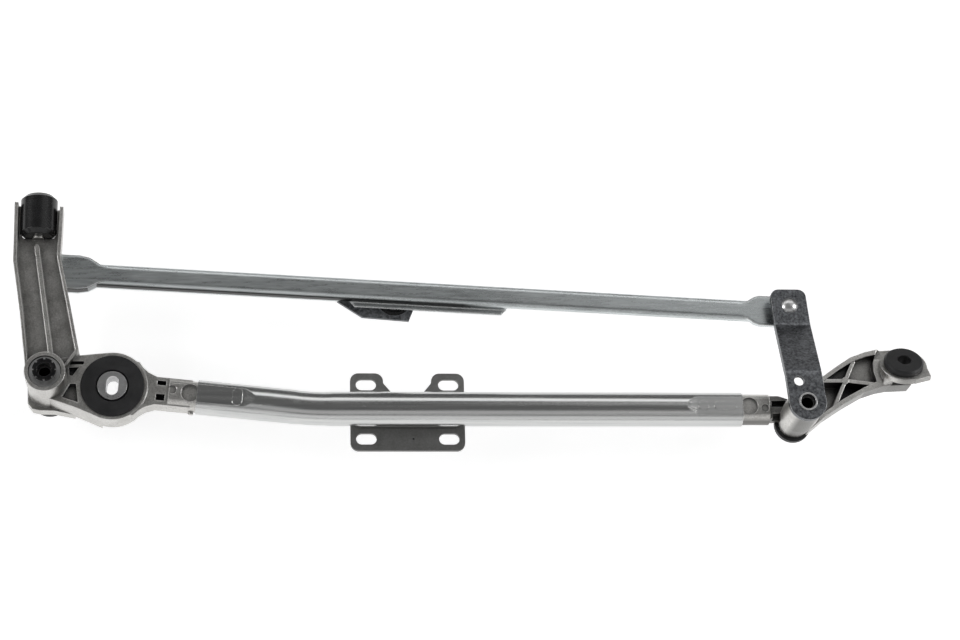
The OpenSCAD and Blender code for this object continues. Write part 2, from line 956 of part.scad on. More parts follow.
module left_seal_cap() {
    top = left_crank_z - left_cap_drop;
    color([0.06, 0.06, 0.06])
        ring(left_cap_r, spindle_r + seat_gap, top - left_cap_h, top);
}

// points on an arc in a side view, from one angle to another
function arc_points(x, z, r, from, to) =
    [for (k = [0:bend_cuts]) let (a = from + (to - from) * k / bend_cuts)
        [x + r * cos(a), z + r * sin(a)]];

// side view of the right crank: x is the distance from the spindle axis
module right_crank_side() {
    high = right_crank_top;
    low = right_low_top;
    slope = atan2(crank_step, step_stop - step_start);
    outer = crank_bend + crank_t;
    x1 = step_start - outer * tan(slope / 2);
    x2 = step_stop + crank_bend * tan(slope / 2);
    polygon(concat([[-30, high]],
        arc_points(x1, high - outer, outer, 90, 90 - slope),
        arc_points(x2, low + crank_bend, crank_bend, -90 - slope, -90),
        [[130, low], [130, low - crank_t]],
        arc_points(x2, low + crank_bend, outer, -90, -90 - slope),
        arc_points(x1, high - outer, crank_bend, 90 - slope, 90),
        [[-30, high - crank_t]]));
}

// plan of the right crank; its flats lean a little against the line of the joints
module right_crank_plan() {
    side = crank_w / 2 - 0.3;
    tip = arm_length + crank_w / 2 - 1;
    lean = tan(crank_lean);
    low_shift = -lean * step_start;
    high_shift = lean * (arm_length - step_stop);
    tip_shift = -lean * (tip - crank_round - arm_length);
    corner_x = side - crank_round;
    corner_y = tip - crank_round;
    polygon(concat([[side, 0], [side + low_shift, step_start], [side + high_shift, step_stop]],
        arc_points(tip_shift + corner_x, corner_y, crank_round, 0, 90),
        arc_points(tip_shift - corner_x, corner_y, crank_round, 90, 180),
        [[high_shift - side, step_stop], [low_shift - side, step_start], [-side, 0]]));
}

module right_crank() {
    color("slategray")
        at_right()
            difference() {
                intersection() {
                    rotate([0, 0, 90])
                        translate([0, crank_w, 0])
                            rotate([90, 0, 0])
                                linear_extrude(2 * crank_w)
                                    right_crank_side();
                    union() {
                        disc(crank_w / 2, right_base_z, right_rim_z + 20);
                        translate([0, 0, right_base_z])
                            linear_extrude(right_rim_z)
                                right_crank_plan();
                    }
                }
                disc(spindle_r + rivet_over + seat_gap, 0, through);
                translate([0, arm_length, 0])
                    disc(neck_stud_r + seat_gap, 0, through);
                translate([-gauge_x, gauge_y, 0])
                    disc(gauge_r, 0, through);
            }
}

module right_spindle() {
    collar_z = right_crank_top - crank_t;
    low = right_base_z - 26;
    top_r = spindle_r + rivet_over;
    color("gainsboro")
        at_right()
            difference() {
                union() {
                    disc(spindle_r, low + seat_l + 3, right_rim_z + 0.2);
                    disc(spindle_r, right_rim_z, collar_z + bite);
                    disc(top_r, collar_z, right_crank_top + 0.8);
                    disc(seat_r, low, low + seat_l + 2);
                    translate([0, 0, low + seat_l])
                        cylinder(r1 = seat_r, r2 = spindle_r, h = 3);
                    translate([0, 0, low - 2])
                        cylinder(r1 = seat_r - 1.6, r2 = seat_r, h = 2);
                }
                disc(top_r - 1.2, right_crank_top - 4, right_crank_top + 3);
                disc(spindle_r - 1.6, right_crank_top - 26, right_crank_top);
            }
}

module right_thrust_washer() {
    color("silver")
        at_right()
            ring(right_barrel_r - 1, spindle_r + 0.1, right_rim_z + 0.05, right_rim_z + 0.95);
}

module right_seal_cap() {
    color([0.06, 0.06, 0.06])
        at_right()
            ring(cap_r, spindle_r + seat_gap, right_base_z - 4.8, right_base_z - 0.5);
}

module right_circlip() {
    low = right_base_z - 6.2;
    color([0.2, 0.2, 0.2])
        at_right()
            difference() {
                ring(spindle_r + 2.6, spindle_r + seat_gap, low, low + 1.2);
                translate([3, -2, low - past])
                    cube([10, 4, 5]);
            }
}

module right_ball_stud() {
    head_z = right_low_top;
    color("gainsboro")
        at_right()
            translate([0, arm_length, 0]) {
                translate([0, 0, right_ball_z])
                    sphere(r = ball_r);
                disc(neck_stud_r, right_ball_z, head_z + 0.5);
                intersection() {
                    disc(ball_r, head_z + seat_gap, head_z + ball_r);
                    translate([0, 0, head_z + dome_h - dome_r])
                        sphere(r = dome_r);
                }
            }
}

module left_crank() {
    color("slategray")
        difference() {
            translate([0, 0, left_crank_z])
                union() {
                    cylinder(r = left_hub_r, h = crank_t);
                    translate([0, arm_length, 0])
                        cylinder(r = left_eye_r, h = crank_t);
                    translate([-left_bar_w / 2, left_bar_w / 2, 0])
                        cube([left_bar_w, arm_length - left_hub_r, crank_t]);
                }
            disc(spindle_r + seat_gap, 0, through);
            translate([0, arm_length, 0])
                disc(neck_stud_r + seat_gap, 0, through);
        }
}

module left_ball_stud() {
    color("gainsboro")
        translate([0, arm_length, 0]) {
            translate([0, 0, left_ball_z])
                sphere(r = ball_r);
            disc(neck_stud_r, left_crank_z - 0.5, left_ball_z);
            disc(6.3, crank_top + seat_gap, crank_top + 2.4);
            translate([0, 0, left_crank_z - 1.8])
                cylinder(r1 = 4.6, r2 = 6.2, h = 1.8 - seat_gap);
        }
}

// plan of one end pad of the rod and its shoulders, drawn in by the given amount
module pad_plan(pad, flare, inset) {
    half = rod_w / 2 - rod_round;
    wide = pad - inset;
    circle(r = wide);
    translate([0, -wide])
        square([pad_l, 2 * wide]);
    polygon([[pad_l - past, wide], [pad_l, wide], [pad_l + flare * 0.3, wide - 1.4],
        [pad_l + flare * 0.62, half + 2.4 - inset], [pad_l + flare, half - inset],
        [pad_l + flare, inset - half], [pad_l + flare * 0.62, inset - half - 2.4],
        [pad_l + flare * 0.3, 1.4 - wide], [pad_l, -wide], [pad_l - past, -wide]]);
}

// end pad of the rod: a flat with side walls
module rod_pad(pad, flare) {
    difference() {
        translate([0, 0, rod_bottom])
            linear_extrude(rod_h)
                pad_plan(pad, flare, 0);
        translate([0, 0, rod_bottom - past])
            linear_extrude(rod_h + past - rod_t)
                pad_plan(pad, flare, rod_t);
        disc(stem_r + seat_gap, 0, through);
    }
}

// section of the rod drawn in by the given amount, its upper edges rounded
module rod_section(inset) {
    half = rod_w / 2 - inset;
    r = rod_round - inset;
    top = rod_h - inset;
    translate([-half, 0])
        square([2 * half, top - r]);
    translate([r - half, 0])
        square([2 * half - 2 * r, top]);
    for (side = [-1, 1])
        translate([side * (half - r), top - r])
            circle(r = r);
}

// plan of the lip along the lower edge of the rod
module lip_plan() {
    from = drive_x - 33;
    to = drive_x + 83;
    edge = -rod_w / 2;
    polygon([[from, edge + bite], [from + lip_w, edge - lip_w], [to - lip_w, edge - lip_w],
        [to, edge + bite]]);
}

module link_rod() {
    shallow_from = drive_x + 83;
    color("gray")
        at_rod()
            difference() {
                union() {
                    translate([pad_l + 6, 0, rod_bottom])
                        rotate([90, 0, 90])
                            linear_extrude(spindle_span - 2 * pad_l - 12)
                                difference() {
                                    rod_section(0);
                                    translate([0, -past])
                                        rod_section(rod_t);
                                    translate([rod_t - rod_w / 2, -past])
                                        square([rod_w - 2 * rod_t, 2 * past]);
                                }
                    rod_pad(pad_r, left_flare);
                    translate([spindle_span, 0, 0])
                        rotate([0, 0, 180])
                            rod_pad(right_pad_r, right_flare);
                    translate([0, 0, rod_bottom])
                        linear_extrude(rod_t)
                            lip_plan();
                }
                // the walls are shallower from the lip to the right end
                translate([shallow_from, -pad_w, rod_bottom - past])
                    cube([spindle_span, 2 * pad_w, rod_h - shallow_h + past]);
            }
}

module left_ball_socket() {
    under = rod_z - rod_t - seat_gap;
    low = left_ball_z - ball_r * 0.55;
    color([0.1, 0.1, 0.1])
        at_rod()
            difference() {
                union() {
                    disc(cup_r, low, under);
                    disc(stem_r, under - bite, rod_z + 1);
                    disc(stem_r + 1.6, rod_z + seat_gap, rod_z + 2);
                }
                translate([0, 0, left_ball_z])
                    sphere(r = ball_r + ball_gap);
                translate([0, 0, low - past])
                    cylinder(r = ball_r - 0.6, h = left_ball_z - low + past);
            }
}

module right_ball_socket() {
    high = right_ball_z + ball_r * 0.55;
    color([0.1, 0.1, 0.1])
        at_rod()
            translate([spindle_span, 0, 0])
                difference() {
                    union() {
                        disc(cup_r, rod_z + seat_gap, high);
                        disc(stem_r, rod_z - rod_t - 1, rod_z + 1);
                        disc(stem_r + 1.6, rod_z - rod_t - 2, rod_z - rod_t - seat_gap);
                    }
                    translate([0, 0, right_ball_z])
                        sphere(r = ball_r + ball_gap);
                    translate([0, 0, right_ball_z])
                        cylinder(r = ball_r - 0.6, h = ball_d);
                }
}

// plan of the drive bracket, with the drive socket at x = 0
module bracket_plan() {
    polygon([[-bracket_left, bracket_end_rear], [-bracket_left, -bracket_end_front],
        [-bracket_bend, -bracket_bend_front], [bracket_tip, -bracket_tip_front],
        [bracket_right, -bracket_heel], [bracket_right, bracket_rear],
        [-bracket_corner, bracket_rear]]);
}

module drive_bracket() {
    top = rod_bottom - seat_gap;
    color("dimgray")
        at_rod()
            difference() {
                translate([0, 0, top - bracket_t])
                    linear_extrude(bracket_t)
                        translate([drive_x, 0])
                            bracket_plan();
                translate([drive_x, -drive_shift, 0])
                    disc(drive_r + seat_gap, 0, through);
            }
}

module drive_socket() {
    top = rod_bottom - seat_gap;
    under = top - bracket_t;
    low = top - drive_h;
    body_r = drive_r - drive_step;
    color([0.05, 0.05, 0.05])
        at_rod()
            translate([drive_x, -drive_shift, 0])
                difference() {
                    union() {
                        disc(body_r, low, under);
                        disc(drive_r, under - 2, top - 0.4);
                        disc(drive_r + 0.6, under - 2.4, under - seat_gap);
                    }
                    translate([0, 0, low - past])
                        cylinder(d = drive_mouth, h = drive_h - drive_roof + past);
                    ring(drive_r - 2.6, drive_r - 3.8, top - 1.6, top + past);
                }
}

frame_tube();
motor_plate();
left_housing();
right_housing();
left_grommet();
left_sleeve();
right_grommet();
arm_buffer();
left_upper_bush();
left_lower_bush();
right_upper_bush();
right_lower_bush();
left_spindle();
left_crank();
left_ball_stud();
left_circlip();
left_thrust_washer();
left_seal_cap();
right_spindle();
right_crank();
right_ball_stud();
right_circlip();
right_thrust_washer();
right_seal_cap();
link_rod();
left_ball_socket();
right_ball_socket();
drive_bracket();
drive_socket();
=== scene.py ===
"""Looks of the windscreen wiper linkage: finishes, light, floor and camera."""

import math

import bpy
from mathutils import Matrix, Vector


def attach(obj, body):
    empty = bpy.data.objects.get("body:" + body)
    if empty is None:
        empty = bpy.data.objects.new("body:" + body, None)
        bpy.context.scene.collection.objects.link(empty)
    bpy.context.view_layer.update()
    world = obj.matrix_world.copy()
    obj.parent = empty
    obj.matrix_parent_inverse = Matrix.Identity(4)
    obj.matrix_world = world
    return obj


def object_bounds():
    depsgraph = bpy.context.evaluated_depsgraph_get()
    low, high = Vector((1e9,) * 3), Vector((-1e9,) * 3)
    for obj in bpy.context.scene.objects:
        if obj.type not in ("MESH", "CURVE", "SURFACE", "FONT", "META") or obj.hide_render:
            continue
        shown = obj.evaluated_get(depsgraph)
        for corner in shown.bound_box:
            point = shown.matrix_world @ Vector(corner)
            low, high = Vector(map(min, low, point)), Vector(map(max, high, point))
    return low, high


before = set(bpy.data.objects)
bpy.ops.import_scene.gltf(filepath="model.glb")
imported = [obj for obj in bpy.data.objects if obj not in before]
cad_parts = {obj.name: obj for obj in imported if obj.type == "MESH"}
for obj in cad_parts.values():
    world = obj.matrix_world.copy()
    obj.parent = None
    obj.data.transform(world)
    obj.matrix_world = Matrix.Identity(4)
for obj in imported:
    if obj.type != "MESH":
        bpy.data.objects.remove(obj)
cad_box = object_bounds()

MM = 0.001

# ranges of a mask
RISING = (0.0, 1.0)
FALLING = (1.0, 0.0)

# camera of the photograph, in the part's frame
CAMERA_PLACE = Vector((0.1418, -0.5632, 1.8048))
CAMERA_RIGHT = Vector((0.99581, -0.02485, 0.08801))
CAMERA_UP = Vector((-0.00567, 0.94375, 0.33060))
CAMERA_BACK = Vector((-0.09128, -0.32971, 0.93965))
CAMERA_LENS = 95.29
SENSOR_WIDTH = 36.0

# right seat: middle of its upper face, and the lean of its axis in degrees
SEAT_PLACE = Vector((618.26, 9.14, 80.7)) * MM
SEAT_LEAN = 31.0

# skirt under the seat: its arc along the seat's rim in degrees, and its wall
SKIRT_RADIUS = 17.0 * MM
SKIRT_DROP = 1.0 * MM
SKIRT_WALL = 1.2 * MM
SKIRT_START = 205.0
SKIRT_SWEEP = 33.0
SKIRT_STEPS = 16

# lower edge of the right arm, which the skirt stands on
ARM_TOP = 77.0 * MM
ARM_CORNER = Vector((600.46, -6.86, 0.0)) * MM
ARM_SLOPE = 0.16

# grain of all finishes: contrast of the mottling, and depth of its relief
GRAIN_CONTRAST = (0.32, 0.68)
RELIEF_DEPTH = 0.1 * MM

# painted shade on faces that look one way: how well they face their direction, and the lengths
# of the fades
SIDE_MATCH = (0.72, 0.92)
SHADE_RISE = 0.5 * MM
SHADE_FADE = 35 * MM

# painted shade on the front wall of the rod, from its left end to the drive bracket
ROD_FRONT = (-0.0523, -0.9986, 0.0)
ROD_SHADE_LOW = 49.5 * MM
ROD_SHADE_END = 300 * MM
ROD_PAINTED_SHADE_TONE = (0.02, 0.02, 0.02)

# painted shade on the front faces of the right casting, over its whole height and length
CASTING_FRONT = (0.0, -1.0, 0.0)
CASTING_LOW = 0.0
CASTING_END = 700 * MM
CASTING_PAINTED_SHADE_TONE = (0.18, 0.177, 0.169)

# table: dark in reflections beyond the fade along Y, and glowing where it is white
FLOOR_GAP = 0.3 * MM
FLOOR_SIZE = 6.0
FLOOR_FADE = (0.36, 0.62)
FLOOR_LIFT = 0.64
FLOOR_DARK = (0.12, 0.12, 0.12)
FLOOR_WHITE = (0.74, 0.74, 0.74)
FLOOR_ROUGHNESS = 0.9

# light of the room on the part, and as the camera sees it
ROOM_LIGHT = 0.13
ROOM_WHITE = 1.0

# lamps: name, place, target, width, height, power
MIDDLE = (0.28, 0.03, 0.06)
RIGHT_END = (0.5, 0.0, 0.06)
LAMPS = (
    ("rear_softbox", (0.28, 1.26, 1.09), MIDDLE, 3.2, 0.62, 7.8),
    ("front_softbox", (0.28, -1.75, 0.52), MIDDLE, 3.4, 0.8, 6.3),
    ("high_front_softbox", (0.28, -1.44, 1.69), MIDDLE, 3.4, 1.0, 4.6),
    ("left_softbox", (-1.75, 0.1, 1.2), MIDDLE, 1.0, 1.0, 16.0),
    ("high_right_fill", (1.15, 0.72, 1.75), RIGHT_END, 0.95, 0.95, 1.15),
    ("right_softbox", (2.3, 0.1, 1.2), MIDDLE, 1.0, 1.0, 16.0),
)


def add_node(tree, kind, inputs=None, **settings):
    """A new node with its settings, and with the named input sockets set."""
    node = tree.nodes.new(kind)
    for name, value in settings.items():
        setattr(node, name, value)
    for name, value in (inputs or {}).items():
        node.inputs[name].default_value = value
    return node


def join(tree, source, target):
    """A link from one node's output to another's input."""
    tree.links.new(source, target)


def new_group(name, inputs, outputs):
    """An empty shader group with its named sockets, and its two end nodes."""
    tree = bpy.data.node_groups.new(name, "ShaderNodeTree")
    for label, kind, value in inputs:
        socket = tree.interface.new_socket(name=label, in_out="INPUT", socket_type=kind)
        socket.default_value = value
    for label, kind in outputs:
        tree.interface.new_socket(name=label, in_out="OUTPUT", socket_type=kind)
    return tree, tree.nodes.new("NodeGroupInput"), tree.nodes.new("NodeGroupOutput")


def blend(tree, mask, first, second):
    """A colour from the first to the second by a mask. Each is a tone or a socket."""
    node = add_node(tree, "ShaderNodeMix", data_type="RGBA")
    join(tree, mask, node.inputs["Factor"])
    for name, colour in (("A", first), ("B", second)):
        if isinstance(colour, tuple):
            node.inputs[name].default_value = (*colour, 1)
        else:
            join(tree, colour, node.inputs[name])
    return node.outputs["Result"]


def remap(tree, value, source, target):
    """A value mapped from one range to another, and held at its ends."""
    node = add_node(tree, "ShaderNodeMapRange", {
        "From Min": source[0], "From Max": source[1],
        "To Min": target[0], "To Max": target[1]})
    join(tree, value, node.inputs["Value"])
    return node.outputs["Result"]


def combine(tree, operation, first, second):
    """One value worked out from two sockets, such as their product."""
    node = add_node(tree, "ShaderNodeMath", operation=operation)
    join(tree, first, node.inputs[0])
    join(tree, second, node.inputs[1])
    return node.outputs["Value"]


def make_grain_group():
    """Fine and coarse mottling, stretched along the part's own axes."""
    tree, start, end = new_group(
        "metal_grain",
        [("Fine Scale", "NodeSocketFloat", 900.0),
         ("Coarse Scale", "NodeSocketFloat", 60.0),
         ("Coarse Share", "NodeSocketFloat", 0.5),
         ("Stretch", "NodeSocketVector", (1, 1, 1))],
        [("Tone", "NodeSocketFloat"), ("Height", "NodeSocketFloat")])
    place = add_node(tree, "ShaderNodeTexCoord")
    stretch = add_node(tree, "ShaderNodeVectorMath", operation="MULTIPLY")
    join(tree, place.outputs["Object"], stretch.inputs[0])
    join(tree, start.outputs["Stretch"], stretch.inputs[1])
    fine = add_node(tree, "ShaderNodeTexNoise", {"Detail": 3.0, "Roughness": 0.6})
    coarse = add_node(tree, "ShaderNodeTexNoise", {"Detail": 4.0, "Roughness": 0.55})
    for noise, scale in ((fine, "Fine Scale"), (coarse, "Coarse Scale")):
        join(tree, stretch.outputs["Vector"], noise.inputs["Vector"])
        join(tree, start.outputs[scale], noise.inputs["Scale"])
    mixed = add_node(tree, "ShaderNodeMix", data_type="FLOAT")
    join(tree, start.outputs["Coarse Share"], mixed.inputs["Factor"])
    join(tree, fine.outputs["Fac"], mixed.inputs["A"])
    join(tree, coarse.outputs["Fac"], mixed.inputs["B"])
    tone = remap(tree, mixed.outputs["Result"], GRAIN_CONTRAST, RISING)
    join(tree, tone, end.inputs["Tone"])
    join(tree, fine.outputs["Fac"], end.inputs["Height"])
    return tree


def make_edge_group():
    """Rounded edges: a normal for the highlight, and a mask of the edge itself."""
    tree, start, end = new_group(
        "rounded_edge",
        [("Radius", "NodeSocketFloat", 0.5 * MM), ("Width", "NodeSocketFloat", 0.2)],
        [("Normal", "NodeSocketVector"), ("Edge", "NodeSocketFloat")])
    bevel = add_node(tree, "ShaderNodeBevel", samples=6)
    join(tree, start.outputs["Radius"], bevel.inputs["Radius"])
    flat = add_node(tree, "ShaderNodeNewGeometry")
    match = add_node(tree, "ShaderNodeVectorMath", operation="DOT_PRODUCT")
    join(tree, bevel.outputs["Normal"], match.inputs[0])
    join(tree, flat.outputs["Normal"], match.inputs[1])
    edge = add_node(tree, "ShaderNodeMapRange", {"From Min": 1.0})
    lowest = add_node(tree, "ShaderNodeMath", operation="SUBTRACT")
    lowest.inputs[0].default_value = 1.0
    join(tree, start.outputs["Width"], lowest.inputs[1])
    join(tree, match.outputs["Value"], edge.inputs["Value"])
    join(tree, lowest.outputs["Value"], edge.inputs["From Max"])
    join(tree, bevel.outputs["Normal"], end.inputs["Normal"])
    join(tree, edge.outputs["Result"], end.inputs["Edge"])
    return tree


def make_recess_group():
    """How open the surface lies, for the painted shade: 1 on free faces, 0 deep in holes and
    pockets.
    """
    tree, start, end = new_group(
        "recess_shade",
        [("Reach", "NodeSocketFloat", 8 * MM), ("Deepest", "NodeSocketFloat", 0.3),
         ("Free", "NodeSocketFloat", 0.85)],
        [("Open", "NodeSocketFloat")])
    shade = add_node(tree, "ShaderNodeAmbientOcclusion", samples=12, only_local=True)
    join(tree, start.outputs["Reach"], shade.inputs["Distance"])
    opened = add_node(tree, "ShaderNodeMapRange")
    join(tree, shade.outputs["AO"], opened.inputs["Value"])
    join(tree, start.outputs["Deepest"], opened.inputs["From Min"])
    join(tree, start.outputs["Free"], opened.inputs["From Max"])
    join(tree, opened.outputs["Result"], end.inputs["Open"])
    return tree


GRAIN = make_grain_group()
EDGE = make_edge_group()
RECESS = make_recess_group()


def place_group(tree, group, values):
    """A shared group placed in a material, with its named sockets set."""
    return add_node(tree, "ShaderNodeGroup", values, node_tree=group)


def new_material(name):
    """A material with its tree and its shader node."""
    material = bpy.data.materials.new(name)
    material.use_nodes = True
    tree = material.node_tree
    return material, tree, tree.nodes["Principled BSDF"]


def finish_surface(tree, shader, tone, edge, rough, bump):
    """Uneven gloss, fine relief and rounded edges."""
    gloss = remap(tree, tone.outputs["Tone"], RISING, rough)
    join(tree, gloss, shader.inputs["Roughness"])
    relief = add_node(tree, "ShaderNodeBump", {"Strength": bump, "Distance": RELIEF_DEPTH})
    join(tree, tone.outputs["Height"], relief.inputs["Height"])
    join(tree, edge.outputs["Normal"], relief.inputs["Normal"])
    join(tree, relief.outputs["Normal"], shader.inputs["Normal"])


def metal(name, dark, light, worn_edge_and_highlight, rough, grain, edge_radius, bump, recess,
          painted_recess_shade=(0.012, 0.012, 0.012)):
    """A bare or plated metal: mottled tone, paler edges for wear and a painted highlight,
    painted shade in recesses, uneven gloss.
    """
    material, tree, shader = new_material(name)
    tone = place_group(tree, GRAIN, grain)
    edge = place_group(tree, EDGE, {"Radius": edge_radius})
    depth = place_group(tree, RECESS, recess)
    body = blend(tree, tone.outputs["Tone"], dark, light)
    # paler edges: partly wear, partly a painted highlight
    finish = blend(tree, edge.outputs["Edge"], body, worn_edge_and_highlight)
    # painted shade in holes and pockets, by how open the surface lies
    shaded = blend(tree, depth.outputs["Open"], painted_recess_shade, finish)
    join(tree, shaded, shader.inputs["Base Color"])
    finish_surface(tree, shader, tone, edge, rough, bump)
    shader.inputs["Metallic"].default_value = 1.0
    return material


def black_part(name, dark, light, rough, grain, edge_radius, bump):
    """Rubber or moulded plastic: nearly black, with dusty mottling."""
    material, tree, shader = new_material(name)
    tone = place_group(tree, GRAIN, grain)
    edge = place_group(tree, EDGE, {"Radius": edge_radius})
    body = blend(tree, tone.outputs["Tone"], dark, light)
    join(tree, body, shader.inputs["Base Color"])
    finish_surface(tree, shader, tone, edge, rough, bump)
    shader.inputs["Metallic"].default_value = 0.0
    return material


def paint_side_shade(material, direction, above, before, tone):
    """Paints shade on the faces that look one way, above one height, until a place along X."""
    tree = material.node_tree
    shader = tree.nodes["Principled BSDF"]
    source = shader.inputs["Base Color"].links[0].from_socket
    place = add_node(tree, "ShaderNodeTexCoord")
    match = add_node(tree, "ShaderNodeVectorMath", operation="DOT_PRODUCT")
    join(tree, place.outputs["Normal"], match.inputs[0])
    match.inputs[1].default_value = direction
    axes = add_node(tree, "ShaderNodeSeparateXYZ")
    join(tree, place.outputs["Object"], axes.inputs["Vector"])
    side = remap(tree, match.outputs["Value"], SIDE_MATCH, RISING)
    height = remap(tree, axes.outputs["Z"], (above, above + SHADE_RISE), RISING)
    length = remap(tree, axes.outputs["X"], (before, before + SHADE_FADE), FALLING)
    mask = combine(tree, "MULTIPLY", combine(tree, "MULTIPLY", side, height), length)
    join(tree, blend(tree, mask, source, tone), shader.inputs["Base Color"])


# reach and depth of the painted shade in the recesses of steel parts
FLAT_STEEL = {"Reach": 5 * MM, "Deepest": 0.2, "Free": 0.6}

galvanised = metal(
    "galvanised",
    dark=(0.50, 0.51, 0.51), light=(0.68, 0.68, 0.67), worn_edge_and_highlight=(0.80, 0.80, 0.79),
    rough=(0.17, 0.30),
    grain={"Fine Scale": 520.0, "Coarse Scale": 60.0, "Coarse Share": 0.45,
           "Stretch": (0.02, 1, 1)},
    edge_radius=0.5 * MM, bump=0.3, recess=FLAT_STEEL)

CASTING = dict(
    dark=(0.40, 0.39, 0.37), light=(0.75, 0.74, 0.715), worn_edge_and_highlight=(0.84, 0.83, 0.81),
    rough=(0.28, 0.43),
    grain={"Fine Scale": 900.0, "Coarse Scale": 90.0, "Coarse Share": 0.4},
    edge_radius=1.0 * MM, bump=0.9,
    recess={"Reach": 14 * MM, "Deepest": 0.25, "Free": 0.85},
    painted_recess_shade=(0.03, 0.03, 0.032))
cast_aluminium = metal("cast_aluminium", **CASTING)
# a copy of the casting with painted shade on its front faces, for the right housing and the
# skirt
painted_shade_casting = metal("painted_shade_casting", **CASTING)
paint_side_shade(painted_shade_casting, CASTING_FRONT, CASTING_LOW, CASTING_END, CASTING_PAINTED_SHADE_TONE)

plate_steel = metal(
    "plate_steel",
    dark=(0.19, 0.19, 0.185), light=(0.29, 0.29, 0.285), worn_edge_and_highlight=(0.36, 0.36, 0.36),
    rough=(0.48, 0.62),
    grain={"Fine Scale": 700.0, "Coarse Scale": 90.0, "Coarse Share": 0.45},
    edge_radius=0.4 * MM, bump=0.25, recess=FLAT_STEEL)

zinc_dark = metal(
    "zinc_dark",
    dark=(0.036, 0.038, 0.042), light=(0.285, 0.295, 0.31), worn_edge_and_highlight=(0.56, 0.57, 0.58),
    rough=(0.32, 0.50),
    grain={"Fine Scale": 560.0, "Coarse Scale": 190.0, "Coarse Share": 0.3},
    edge_radius=0.6 * MM, bump=0.3, recess=FLAT_STEEL)

rod_steel = metal(
    "rod_steel",
    dark=(0.48, 0.51, 0.515), light=(0.81, 0.85, 0.855), worn_edge_and_highlight=(0.92, 0.93, 0.93),
    rough=(0.22, 0.34),
    grain={"Fine Scale": 520.0, "Coarse Scale": 60.0, "Coarse Share": 0.5,
           "Stretch": (0.1, 1, 1)},
    edge_radius=2.6 * MM, bump=0.10, recess=FLAT_STEEL)
# painted shade on the rod's front wall
paint_side_shade(rod_steel, ROD_FRONT, ROD_SHADE_LOW, ROD_SHADE_END, ROD_PAINTED_SHADE_TONE)

bright_steel = metal(
    "bright_steel",
    dark=(0.58, 0.58, 0.58), light=(0.72, 0.72, 0.72), worn_edge_and_highlight=(0.82, 0.82, 0.82),
    rough=(0.26, 0.38),
    grain={"Fine Scale": 800.0, "Coarse Scale": 120.0, "Coarse Share": 0.5},
    edge_radius=0.4 * MM, bump=0.08,
    recess={"Reach": 9 * MM, "Deepest": 0.3, "Free": 0.8},
    painted_recess_shade=(0.004, 0.004, 0.004))

bronze = metal(
    "bronze",
    dark=(0.46, 0.32, 0.14), light=(0.62, 0.45, 0.22), worn_edge_and_highlight=(0.72, 0.55, 0.30),
    rough=(0.32, 0.46),
    grain={"Fine Scale": 1100.0, "Coarse Scale": 160.0, "Coarse Share": 0.3},
    edge_radius=0.2 * MM, bump=0.15, recess=FLAT_STEEL)

spring_steel = metal(
    "spring_steel",
    dark=(0.02, 0.02, 0.021), light=(0.05, 0.05, 0.052), worn_edge_and_highlight=(0.16, 0.16, 0.165),
    rough=(0.30, 0.44),
    grain={"Fine Scale": 800.0, "Coarse Scale": 120.0, "Coarse Share": 0.4},
    edge_radius=0.2 * MM, bump=0.12, recess=FLAT_STEEL)

black_rubber = black_part(
    "black_rubber",
    dark=(0.004, 0.004, 0.005), light=(0.022, 0.022, 0.023), rough=(0.40, 0.62),
    grain={"Fine Scale": 1000.0, "Coarse Scale": 110.0, "Coarse Share": 0.5},
    edge_radius=0.8 * MM, bump=0.25)

black_plastic = black_part(
    "black_plastic",
    dark=(0.005, 0.005, 0.005), light=(0.012, 0.012, 0.013), rough=(0.20, 0.32),
    grain={"Fine Scale": 800.0, "Coarse Scale": 90.0, "Coarse Share": 0.5},
    edge_radius=0.6 * MM, bump=0.06)

FINISH = {
    "frame_tube": galvanised, "motor_plate": plate_steel,
    "left_housing": cast_aluminium, "right_housing": painted_shade_casting,
    "left_grommet": black_rubber, "right_grommet": black_rubber,
    "left_sleeve": bright_steel, "arm_buffer": black_plastic,
    "left_upper_bush": bronze, "left_lower_bush": bronze,
    "right_upper_bush": bronze, "right_lower_bush": bronze,
    "left_spindle": bright_steel, "right_spindle": bright_steel,
    "left_crank": zinc_dark, "right_crank": zinc_dark,
    "left_ball_stud": bright_steel, "right_ball_stud": bright_steel,
    "left_circlip": spring_steel, "right_circlip": spring_steel,
    "left_thrust_washer": bright_steel, "right_thrust_washer": bright_steel,
    "left_seal_cap": black_rubber, "right_seal_cap": black_rubber,
    "link_rod": rod_steel, "left_ball_socket": black_plastic,
    "right_ball_socket": black_plastic, "drive_bracket": zinc_dark,
    "drive_socket": black_plastic,
}


def dress_nodes():
    """Gives each solid its finish."""
    for name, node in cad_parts.items():
        node.data.materials.clear()
        node.data.materials.append(FINISH[name])


def add_seat_skirt():
    """The thin wall of the right casting between the arm's lower edge and the leaning seat."""
    seat = Matrix.Translation(SEAT_PLACE) @ Matrix.Rotation(math.radians(-SEAT_LEAN), 4, "X")
    inward = Vector((0.0, SKIRT_WALL, 0.0))
    points = []
    for step in range(SKIRT_STEPS + 1):
        turn = math.radians(SKIRT_START + SKIRT_SWEEP * step / SKIRT_STEPS)
        across, along = SKIRT_RADIUS * math.cos(turn), SKIRT_RADIUS * math.sin(turn)
        top = seat @ Vector((across, along, -SKIRT_DROP))
        edge = ARM_CORNER.y + ARM_SLOPE * (top.x - ARM_CORNER.x)
        low = Vector((top.x, edge, ARM_TOP))
        points += [top, low, low + inward, top + inward]
    faces = [(0, 1, 2, 3), tuple(4 * SKIRT_STEPS + k for k in (3, 2, 1, 0))]
    for step in range(SKIRT_STEPS):
        here, after = 4 * step, 4 * step + 4
        for k in range(4):
            following = (k + 1) % 4
            faces.append((here + k, after + k, after + following, here + following))
    mesh = bpy.data.meshes.new("seat_skirt")
    mesh.from_pydata(points, [], faces)
    mesh.materials.append(painted_shade_casting)
    skirt = bpy.data.objects.new("seat_skirt", mesh)
    bpy.context.collection.objects.link(skirt)
    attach(skirt, "frame")


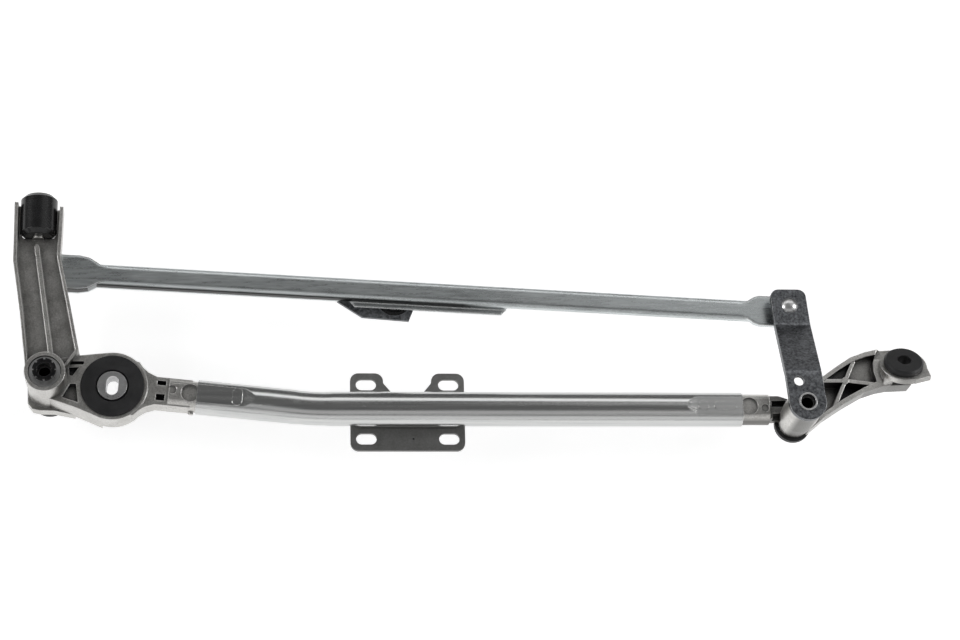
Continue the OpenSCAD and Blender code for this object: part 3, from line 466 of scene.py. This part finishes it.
def make_table_material():
    """White to the camera, with a soft glow, and dark at the back in reflections."""
    material, tree, shader = new_material("white_table")
    place = add_node(tree, "ShaderNodeTexCoord")
    axes = add_node(tree, "ShaderNodeSeparateXYZ")
    join(tree, place.outputs["Object"], axes.inputs["Vector"])
    ray = add_node(tree, "ShaderNodeLightPath")
    near = remap(tree, axes.outputs["Y"], FLOOR_FADE, FALLING)
    white = combine(tree, "MAXIMUM", near, ray.outputs["Is Camera Ray"])
    paper = blend(tree, white, FLOOR_DARK, FLOOR_WHITE)
    join(tree, paper, shader.inputs["Base Color"])
    shader.inputs["Roughness"].default_value = FLOOR_ROUGHNESS
    shader.inputs["Specular IOR Level"].default_value = 0.0
    shader.inputs["Emission Color"].default_value = (1, 1, 1, 1)
    seen = ray.outputs["Is Camera Ray"]
    for kind in ("Is Glossy Ray", "Is Transmission Ray"):
        seen = combine(tree, "MAXIMUM", seen, ray.outputs[kind])
    glow = combine(tree, "MULTIPLY", seen, remap(tree, white, RISING, (0.0, FLOOR_LIFT)))
    join(tree, glow, shader.inputs["Emission Strength"])
    return material


def make_floor():
    """A white table just under the part, which takes its shadow."""
    lowest = cad_box[0][2] - FLOOR_GAP
    half = FLOOR_SIZE / 2
    corners = [(x * half, y * half, lowest) for x, y in ((-1, -1), (1, -1), (1, 1), (-1, 1))]
    mesh = bpy.data.meshes.new("floor")
    mesh.from_pydata(corners, [], [(0, 1, 2, 3)])
    mesh.materials.append(make_table_material())
    floor = bpy.data.objects.new("floor", mesh)
    bpy.context.collection.objects.link(floor)


def add_lamp(name, place, target, width, height, power):
    """A soft rectangular lamp at a place, facing a target."""
    lamp = bpy.data.lights.new(name, "AREA")
    lamp.shape = "RECTANGLE"
    lamp.size = width
    lamp.size_y = height
    lamp.energy = power
    holder = bpy.data.objects.new(name, lamp)
    holder.location = place
    holder.rotation_euler = (Vector(target) - Vector(place)).to_track_quat("-Z", "Y").to_euler()
    bpy.context.collection.objects.link(holder)


def make_light():
    """Softboxes behind, in front and at both sides, and a weak fill, in a dim white room."""
    for lamp in LAMPS:
        add_lamp(*lamp)
    world = bpy.data.worlds.new("studio")
    bpy.context.scene.world = world
    world.use_nodes = True
    tree = world.node_tree
    back = tree.nodes["Background"]
    back.inputs["Color"].default_value = (1, 1, 1, 1)
    ray = add_node(tree, "ShaderNodeLightPath")
    strength = remap(tree, ray.outputs["Is Camera Ray"], RISING, (ROOM_LIGHT, ROOM_WHITE))
    join(tree, strength, back.inputs["Strength"])


def make_camera():
    """The photograph's camera, from its place and its three axes."""
    data = bpy.data.cameras.new("photo_camera")
    data.lens = CAMERA_LENS
    data.sensor_width = SENSOR_WIDTH
    data.sensor_fit = "HORIZONTAL"
    camera = bpy.data.objects.new("photo_camera", data)
    axes = Matrix((CAMERA_RIGHT, CAMERA_UP, CAMERA_BACK)).transposed()
    turn = axes.to_quaternion().to_matrix().to_4x4()
    camera.matrix_world = Matrix.Translation(CAMERA_PLACE) @ turn
    bpy.context.collection.objects.link(camera)
    bpy.context.scene.camera = camera


make_camera()
dress_nodes()
add_seat_skirt()
make_floor()
make_light()
bpy.context.scene.view_settings.view_transform = "Standard"
